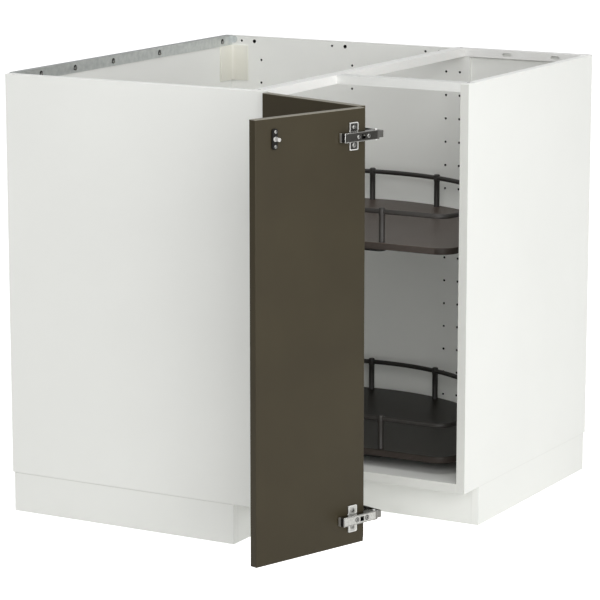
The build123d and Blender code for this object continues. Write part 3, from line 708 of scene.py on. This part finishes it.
def grow(tree, seed_mesh, **settings):
    """The mesh that a geometry tree makes from another mesh, with the tree's inputs set by name."""
    holder = bpy.data.objects.new("seed", seed_mesh)
    bpy.context.scene.collection.objects.link(holder)
    modifier = holder.modifiers.new("tree", "NODES")
    modifier.node_group = tree
    for item in tree.interface.items_tree:
        label = item.name.replace(" ", "_")
        if item.item_type == "SOCKET" and item.in_out == "INPUT" and label in settings:
            modifier[item.identifier] = settings[label]
    mesh = bpy.data.meshes.new_from_object(holder.evaluated_get(bpy.context.evaluated_depsgraph_get()))
    holder.modifiers.remove(modifier)
    bpy.data.objects.remove(holder)
    return mesh


def soften(mesh, limit=35.0):
    """Smooth shading, broken at edges that turn by more than the limit."""
    for polygon in mesh.polygons:
        polygon.use_smooth = True
    mesh.set_sharp_from_angle(angle=radians(limit))
    return mesh


screw_tree = make_screw_tree()
post_tree = make_post_tree()
rib_tree = make_rib_tree()


def screws(name, material, body, rows, *replaced, **settings):
    """Screw heads; each row has a place, the way it faces, a radius and a rise."""
    points = bpy.data.meshes.new("points")
    points.from_pydata([place for place, facing, radius, rise in rows], [], [])
    facings = points.attributes.new("facing", "FLOAT_VECTOR", "POINT")
    sizes = points.attributes.new("size", "FLOAT_VECTOR", "POINT")
    for index, (place, facing, radius, rise) in enumerate(rows):
        facings.data[index].vector = facing
        sizes.data[index].vector = (radius, radius, rise)
    mesh = grow(screw_tree, points, Material=material, **settings)
    return add_piece(name, soften(mesh), material, body, *replaced)


# Shapes drawn in a seat's own directions


class Seat:
    """A place on a part, in millimetres, with its own directions: u along it, v up, w out of its face."""

    def __init__(self, origin, u, v, w, turn=None):
        self.origin, self.u, self.v, self.w = Vector(origin), Vector(u), Vector(v), Vector(w)
        self.turn = turn

    def at(self, u, v, w):
        place = self.origin + self.u * u + self.v * v + self.w * w
        return (self.turn @ place if self.turn else place) / 1000

    def way(self, u, v, w):
        way = self.u * u + self.v * v + self.w * w
        return self.turn.to_3x3() @ way if self.turn else way


DOOR_OPEN = 108.5
DOOR_BACK = -151.0
door_pivot = Vector((155.0, -433.0, 0.0))
door_turn = (
    Matrix.Translation(door_pivot) @ Matrix.Rotation(radians(-DOOR_OPEN), 4, "Z")
    @ Matrix.Translation(-door_pivot)
)


def door_seat(x, z):
    """A seat on the back of the second leaf, drawn with the doors shut and turned open with them."""
    return Seat((x, DOOR_BACK, z), (-1, 0, 0), (0, 0, 1), (0, 1, 0), door_turn)


def add_block(shell, seat, u, v, w):
    """A block between two values along each of a seat's directions."""
    corners = [shell.verts.new(seat.at(a, b, c)) for c in w for b in v for a in u]
    for row in ((0, 2, 3, 1), (4, 5, 7, 6), (0, 1, 5, 4), (2, 6, 7, 3), (0, 4, 6, 2), (1, 3, 7, 5)):
        shell.faces.new([corners[number] for number in row])


def add_turned(shell, seat, profile, sides=24, axis="w", centre=(0.0, 0.0)):
    """A turned shape; its profile has rows of radius and height along the axis, closed at both ends."""
    def ring_place(radius, height, angle):
        a, b = centre[0] + radius * cos(angle), centre[1] + radius * sin(angle)
        return seat.at(a, b, height) if axis == "w" else seat.at(a, height, b)
    rings = []
    for radius, height in profile:
        if radius == 0:
            rings.append([shell.verts.new(ring_place(0, height, 0))])
        else:
            angles = [2 * pi * n / sides for n in range(sides)]
            rings.append([shell.verts.new(ring_place(radius, height, angle)) for angle in angles])
    for low, high in zip(rings, rings[1:]):
        for n in range(sides):
            m = (n + 1) % sides
            if len(low) == 1:
                shell.faces.new((low[0], high[m], high[n]))
            elif len(high) == 1:
                shell.faces.new((low[n], low[m], high[0]))
            else:
                shell.faces.new((low[n], low[m], high[m], high[n]))


def finished_mesh(shell, limit=35.0):
    """Closes a drawn shape with its faces outwards and its curves smooth."""
    bmesh.ops.recalc_face_normals(shell, faces=shell.faces)
    mesh = bpy.data.meshes.new("piece")
    shell.to_mesh(mesh)
    shell.free()
    return soften(mesh, limit)


# Screws and bolts


FOLD_HINGE_X = 200.5
FOLD_HINGE_HEIGHTS = {"upper": 830.0, "lower": 130.0}
fold_seats = {level: door_seat(FOLD_HINGE_X, height) for level, height in FOLD_HINGE_HEIGHTS.items()}
catch_seat = door_seat(388.0, 842.0)
UP = (0, 0, 1)
ADJUSTERS_ALONG = (0, 24.5)


def seat_rows(seat, places, radius, rise):
    """Rows for screws() that stand out of a seat, at places given along it, up it and out of it."""
    return [(seat.at(*place), seat.way(*UP), radius, rise) for place in places]


door_screw_rows = []
for seat in fold_seats.values():
    door_screw_rows += seat_rows(seat, ((0, 16, 1.9), (0, -16, 1.9)), 0.0042, 0.0025)
door_screw_rows += seat_rows(catch_seat, ((0, 13, 3.9), (0, -13, 3.9)), 0.0032, 0.0019)
screws("door_b_screw_heads", finishes["screw_steel"], "door_b", door_screw_rows, "door_b_screws")

adjuster_rows = []
for seat in fold_seats.values():
    adjuster_rows += seat_rows(seat, [(along, 0, 8) for along in ADJUSTERS_ALONG], 0.0038, 0.0084)
screws(
    "fold_hinge_adjuster_heads", finishes["screw_steel"], "door_b", adjuster_rows, "fold_hinge_adjusters",
    Dome=0.08, Recess_Depth=0.5,
)

RAIL_SCREW_HEIGHT = 0.8798
rail_screw_side, rail_screw_front = 0.425, 0.1355
rail_screw_rows = [
    ((x, y, RAIL_SCREW_HEIGHT), UP, 0.0035, 0.0017)
    for x, y in (
        (rail_screw_front, -rail_screw_side), (rail_screw_front, rail_screw_side),
        (rail_screw_side, -rail_screw_front), (rail_screw_side, rail_screw_side),
    )
]
screws("rail_screw_heads", finishes["screw_steel"], "cabinet", rail_screw_rows, "rail_screws", Dome=0.1)

FLANGE_SCREWS = 8
FLANGE_SCREW_CIRCLE = 0.039
FLANGE_TOP = 0.102
flange_angles = [2 * pi * n / FLANGE_SCREWS for n in range(FLANGE_SCREWS)]
flange_rows = [
    ((FLANGE_SCREW_CIRCLE * cos(angle), FLANGE_SCREW_CIRCLE * sin(angle), FLANGE_TOP), UP, 0.005, 0.0022)
    for angle in flange_angles
]
screws("pole_flange_screw_heads", finishes["screw_steel"], "cabinet", flange_rows, "pole_flange_screws")

WALL_BOLTS_ALONG = (-0.328, -0.207, -0.066, 0.113, 0.372)
WALL_BOLT_FACE = -0.4196
WALL_BOLT_HEIGHT = 0.8692
wall_bolt_places = [(WALL_BOLT_FACE, along, WALL_BOLT_HEIGHT) for along in WALL_BOLTS_ALONG]
wall_bolt_rows = [(place, (1, 0, 0), 0.0043, 0.0030) for place in wall_bolt_places]
screws("wall_rail_bolt_heads", finishes["screw_steel"], "cabinet", wall_bolt_rows)

# Painted shade of each slot, as a black sheet: a round head with a narrower stretch below it, in millimetres
# from the bolt
SLOT_SHADE_HEAD = ((0, 0), (5.4, 0), (5.4, 0.5), (0, 0.6))
SLOT_SHADE_HEAD_CENTRE = (0, 1.6)
SLOT_SHADE_FOOT = ((-5.0, 5.0), (-3.0, 3.5), (0, 0.55))
slot_shade = bmesh.new()
for place in wall_bolt_places:
    bolt_seat = Seat(Vector(place) * 1000, (0, 1, 0), (0, 0, 1), (1, 0, 0))
    add_turned(slot_shade, bolt_seat, SLOT_SHADE_HEAD, sides=20, centre=SLOT_SHADE_HEAD_CENTRE)
    add_block(slot_shade, bolt_seat, *SLOT_SHADE_FOOT)
# The black sheets are painted shade in the slots.
add_piece("wall_rail_bolt_slots", finished_mesh(slot_shade), finishes["black_plastic"], "cabinet")


# Tray posts


upright = Seat((0, 0, 0), (1, 0, 0), (0, 1, 0), (0, 0, 1))
post_profile = (
    (0, 0), (6.6, 0), (6.6, 0.8), (6.0, 1.6), (6.0, 52.5), (6.5, 54.2), (6.6, 55.4), (6.6, 65.2), (6.3, 66.8),
    (5.4, 68.0), (4.0, 68.5), (0, 68.5),
)
POST_SMOOTHING = 50.0
POST_SPACING = 25.5
ARC_POSTS = 12
WALL_CORNER_WAY = 135
first_post = WALL_CORNER_WAY - (ARC_POSTS - 1) / 2 * POST_SPACING
for level in ("upper", "lower"):
    shell = bmesh.new()
    add_turned(shell, upright, post_profile, sides=28)
    posts = grow(
        post_tree, finished_mesh(shell, POST_SMOOTHING), Arc_Radius=0.3695, First_Angle=radians(first_post),
        Spacing=radians(POST_SPACING), Arc_Count=ARC_POSTS, Front_Along=0.21948, Front_Aside=0.0925,
        Foot_Height=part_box(level + "_tray_plate")[1][2], Material=finishes["dark_steel"],
    )
    add_piece(
        level + "_tray_post_row", soften(posts, POST_SMOOTHING), finishes["dark_steel"], level + "_tray",
        level + "_tray_posts",
    )


# Legs: ribs under the flange, and a grip round each foot


for name, settings in (
    ("leg_ribs", {"Count": 8, "Tube_Radius": 0.0185, "Reach": 0.0125, "Height": 0.014, "Top": 0.0765}),
    ("foot_grips", {"Count": 20, "Tube_Radius": 0.0205, "Reach": 0.0063, "Height": 0.0016,
                    "Thickness": 0.0022, "Top": 0.0112, "Taper": 0.0}),
):
    points = bpy.data.meshes.new("points")
    points.from_pydata([(x, y, 0.0) for x, y in leg_places.values()], [], [])
    ribs = grow(rib_tree, points, Material=finishes["black_plastic"], **settings)
    add_piece(name, ribs, finishes["black_plastic"], "cabinet")


# Fold hinges: the covers on their arms, bright rims with end clips and knuckle pins, and painted shade in
# their gaps


def add_frame_plate(shell, seat, outer, inner, low, high, outer_round, inner_round):
    """A plate with a window; outer and inner are (u from, u to, v from, v to), with rounded corners."""
    def corners(box, height, radius):
        u_low, u_high, v_low, v_high = box
        ring = []
        for u, v, start in (
            (u_high, v_high, 0), (u_low, v_high, 90), (u_low, v_low, 180), (u_high, v_low, 270),
        ):
            centre_u = u - radius if u == u_high else u + radius
            centre_v = v - radius if v == v_high else v + radius
            for step in range(5):
                angle = radians(start + 22.5 * step)
                place = seat.at(centre_u + radius * cos(angle), centre_v + radius * sin(angle), height)
                ring.append(shell.verts.new(place))
        return ring
    rings = [
        corners(outer, low, outer_round), corners(outer, high, outer_round),
        corners(inner, high, inner_round), corners(inner, low, inner_round),
    ]
    for first, second in zip(rings, rings[1:] + rings[:1]):
        for n in range(len(first)):
            m = (n + 1) % len(first)
            shell.faces.new((first[n], first[m], second[m], second[n]))


# In millimetres from the middle of the plate on the leaf: along, up and out of it. The wings are the
# two ends of the plate, above and below the arm; a wing and its rim are given by how far they reach.
COVER = (-30.6, 46.0, -6.9, 6.9)
COVER_SLOT = (8.0, 17.0, -4.5, 4.5)
COVER_LOW, COVER_HIGH = 14.6, 15.35
COVER_ROUNDS = (1.0, 0.5)
WING_HALF_WIDTH, WING_REACH, WING_RISE = 8.6, (9.2, 23.0), (1.8, 2.2)
RIM_HALF_WIDTH, RIM_REACH = 10.4, (8.8, 24.9)
RIM_HOLE_HALF_WIDTH, RIM_HOLE_REACH = 8.7, (9.0, 23.2)
RIM_LOW, RIM_HIGH = 1.8, 3.3
RIM_ROUNDS = (2.5, 1.8)
END_CLIP = ((-34.2, -32.6), (-8.2, 8.2), (2.2, 6.4))
# The end gap block and the rings round the adjusters are black: painted shade.
END_GAP_SHADE = ((-33.1, -32.3), (-7.8, 7.8), (6.4, 14.0))
KNUCKLE = (47.0, 9.5)
KNUCKLE_PIN = (
    (0, -10.2), (2.6, -10.2), (3.0, -9.9), (3.0, -8.9), (2.2, -8.7), (2.2, 8.7), (3.0, 8.9), (3.0, 9.9),
    (2.6, 10.2), (0, 10.2),
)
ADJUSTER_GAP_SHADE = ((0, 15.3), (4.7, 15.3), (4.7, 15.6), (0, 15.7))


def on_side(side, reach):
    """The two ends of a stretch, above the middle for side 1 and below it for side -1, lower one first."""
    return sorted(side * end for end in reach)


for level, seat in fold_seats.items():
    cover = bmesh.new()
    add_frame_plate(cover, seat, COVER, COVER_SLOT, COVER_LOW, COVER_HIGH, *COVER_ROUNDS)
    for side in (1, -1):
        add_block(cover, seat, (-WING_HALF_WIDTH, WING_HALF_WIDTH), on_side(side, WING_REACH), WING_RISE)
    # The two covers are one nickel; the upper is painted darker and the lower lighter, as painted reflection.
    cover_painted_reflection = finishes["dark_nickel" if level == "upper" else "light_nickel"]
    add_piece(f"fold_hinge_{level}_cover", finished_mesh(cover), cover_painted_reflection, "door_b")
    bright = bmesh.new()
    for side in (1, -1):
        add_frame_plate(
            bright, seat, (-RIM_HALF_WIDTH, RIM_HALF_WIDTH, *on_side(side, RIM_REACH)),
            (-RIM_HOLE_HALF_WIDTH, RIM_HOLE_HALF_WIDTH, *on_side(side, RIM_HOLE_REACH)),
            RIM_LOW, RIM_HIGH, *RIM_ROUNDS,
        )
    add_block(bright, seat, *END_CLIP)
    add_turned(bright, seat, KNUCKLE_PIN, sides=20, axis="v", centre=KNUCKLE)
    add_piece(f"fold_hinge_{level}_clip", finished_mesh(bright), finishes["bright_steel"], "door_b")
    # Black pieces where the gaps lie in shade: painted shade.
    black = bmesh.new()
    add_block(black, seat, *END_GAP_SHADE)
    for along in ADJUSTERS_ALONG:
        add_turned(black, seat, ADJUSTER_GAP_SHADE, centre=(along, 0))
    add_piece(f"fold_hinge_{level}_gaps", finished_mesh(black), finishes["black_plastic"], "door_b")


# Catch peg with its fin


PEG_FIN = ((-0.7, 0.7), (2.6, 4.3), (7.0, 10.5))
peg = bmesh.new()
peg_profile = (
    (0, 4), (4.4, 4), (4.4, 5.0), (3.6, 5.6), (3.1, 6.2), (3.1, 12.0), (3.5, 12.4), (3.5, 14.6), (3.1, 15.4),
    (2.2, 15.9), (0, 16),
)
add_turned(peg, catch_seat, peg_profile, sides=28)
add_block(peg, catch_seat, *PEG_FIN)
add_piece("catch_peg_turned", finished_mesh(peg), finishes["grey_plastic"], "door_b", "catch_peg")


# Floor, light and camera


def make_floor():
    """A plain pale floor, bright enough to meet the white surround."""
    half = 20.0
    corners = [(-half, -half, 0), (half, -half, 0), (half, half, 0), (-half, half, 0)]
    mesh = bpy.data.meshes.new("floor")
    mesh.from_pydata(corners, [], [(0, 1, 2, 3)])
    floor = bpy.data.objects.new("floor", mesh)
    bpy.context.scene.collection.objects.link(floor)
    material, tree, shader = new_material("pale_floor")
    look = place_group(
        tree, grain_group, Colour=tone(250, 250, 249), Light_Colour=tone(252, 252, 251), Dimple_Size=0.004,
        Depth=0.00002, Smooth=0.7, Rough=0.9,
    )
    finish_with(tree, shader, look)
    seen = tree.nodes.new("ShaderNodeLightPath").outputs["Is Camera Ray"]
    shader.inputs["Emission Color"].default_value = (1, 1, 1, 1)
    link(tree, add_maths(tree, "MULTIPLY", seen, 0.9), shader.inputs["Emission Strength"])
    mesh.materials.append(material)


def make_surround():
    """White all round, which the camera sees brighter than it lights."""
    world = bpy.data.worlds.new("studio")
    bpy.context.scene.world = world
    world.use_nodes = True
    tree = world.node_tree
    background = tree.nodes["Background"]
    background.inputs["Color"].default_value = (1, 1, 1, 1)
    seen = tree.nodes.new("ShaderNodeLightPath").outputs["Is Camera Ray"]
    strength = add_range(tree, seen, 0.0, 1.0, 0.393, 1.1)
    link(tree, strength, background.inputs["Strength"])


def make_softbox(name, place, aim, width, height, power):
    """A lamp that shines from a rectangle, which the camera doesn't see."""
    light = bpy.data.lights.new(name, "AREA")
    light.shape = "RECTANGLE"
    light.size = width
    light.size_y = height
    light.energy = power
    softbox = bpy.data.objects.new(name, light)
    softbox.location = place
    softbox.visible_camera = False
    softbox.rotation_euler = (Vector(aim) - Vector(place)).to_track_quat("-Z", "Y").to_euler()
    bpy.context.scene.collection.objects.link(softbox)


def make_camera():
    """The photograph's view, fitted to the cabinet's corner points."""
    tilt_down, turned = 11.130, 29.265
    camera = bpy.data.cameras.new("camera")
    camera.sensor_width = 36.0
    camera.lens = 170.48
    camera.clip_end = 60.0
    holder = bpy.data.objects.new("camera", camera)
    holder.location = (2.7664, -4.9658, 1.5162)
    holder.rotation_euler = (radians(90 - tilt_down), 0.0, radians(turned))
    bpy.context.scene.collection.objects.link(holder)
    bpy.context.scene.camera = holder


make_floor()
make_surround()
make_softbox("right_softbox", (4.5, -0.6, 1.6), (0.4, 0.0, 0.5), 2.5, 2.5, 32.6)
make_softbox("right_front_softbox", (3.6, -3.2, 1.8), (0.0, 0.0, 0.5), 2.5, 2.5, 54.8)
make_softbox("room_softbox", (2.4, -5.2, 2.6), (0.0, 0.0, 0.5), 2.0, 2.0, 62.1)
make_softbox("top_softbox", (0.2, -0.2, 4.2), (0.1, -0.1, 0.5), 2.5, 2.5, 45.4)
make_softbox("low_softbox", (2.2, -2.8, 0.35), (0.0, 0.0, 0.4), 1.6, 0.5, 9.0)
make_softbox("opening_softbox", (0.24, -0.20, 0.46), (-0.1, 0.16, 0.46), 0.3, 0.48, 0.30)
make_camera()
bpy.context.scene.view_settings.view_transform = "Standard"
